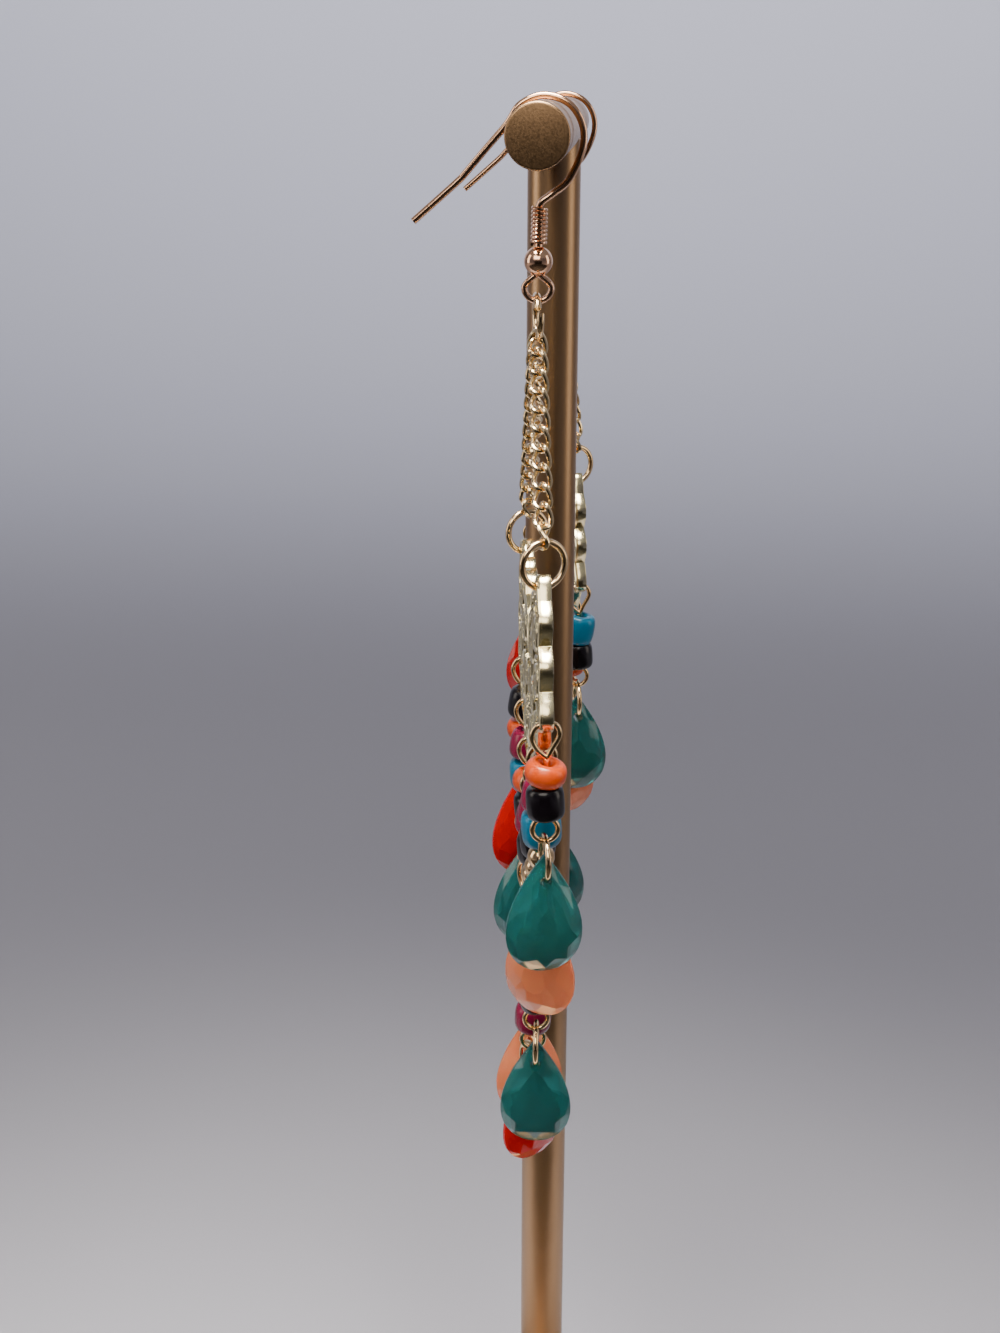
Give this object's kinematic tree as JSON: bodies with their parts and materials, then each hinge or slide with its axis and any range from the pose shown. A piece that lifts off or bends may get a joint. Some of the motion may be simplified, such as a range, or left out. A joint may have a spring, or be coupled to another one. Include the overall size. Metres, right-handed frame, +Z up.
{
  "type": "pair of dangle earrings on a T-bar display stand",
  "caption": "Two long chandelier earrings with fish-hook wires, a scalloped plate, bead strands and teardrop drops, hung on a plain T-bar display stand.",
  "frame": {"origin": "middle of the underside of the stand's foot", "axes": "+Z up along the post, +X along the crossbar, -Y the way the decorated faces of the plates look"},
  "size_m": [0.0863, 0.084, 0.218],
  "materials": {
    "stand_metal": "satin brushed bronze-gold",
    "hook_metal": "polished light rose-gold plate",
    "ring_metal": "polished light gold plate",
    "chain_metal": "polished light gold plate",
    "plate_metal": "pale champagne-gold casting",
    "beads": "glossy opaque seed beads on gold eye pins",
    "drop_red": "glossy opaque red, faceted",
    "drop_teal": "milky translucent teal, faceted",
    "drop_peach": "milky translucent peach, faceted"
  },
  "bodies": {
    "root": {"stand_base": "stand_metal", "stand_post": "stand_metal", "stand_crossbar": "stand_metal", "right_ear_hook": "hook_metal", "right_hook_coil": "hook_metal", "right_hook_ball": "hook_metal", "right_top_ring": "ring_metal", "right_plate_ring_outer": "ring_metal", "right_plate_ring_inner": "ring_metal", "right_chain_outer": "chain_metal", "right_chain_inner": "chain_metal", "right_plate": "plate_metal", "right_strand_1": "beads", "right_strand_2": "beads", "right_strand_3": "beads", "right_strand_4": "beads", "right_strand_5": "beads", "right_strand_6": "beads", "right_strand_7": "beads", "right_drop_1": "drop_red", "right_drop_2": "drop_teal", "right_drop_3": "drop_peach", "right_drop_4": "drop_red", "right_drop_5": "drop_teal", "right_drop_6": "drop_peach", "right_drop_7": "drop_teal", "left_ear_hook": "hook_metal", "left_hook_coil": "hook_metal", "left_hook_ball": "hook_metal", "left_top_ring": "ring_metal", "left_plate_ring_outer": "ring_metal", "left_plate_ring_inner": "ring_metal", "left_chain_outer": "chain_metal", "left_chain_inner": "chain_metal", "left_plate": "plate_metal", "left_strand_1": "beads", "left_strand_2": "beads", "left_strand_3": "beads", "left_strand_4": "beads", "left_strand_5": "beads", "left_strand_6": "beads", "left_strand_7": "beads", "left_drop_1": "drop_red", "left_drop_2": "drop_teal", "left_drop_3": "drop_peach", "left_drop_4": "drop_red", "left_drop_5": "drop_teal", "left_drop_6": "drop_peach", "left_drop_7": "drop_teal"}
  },
  "joints": []
}
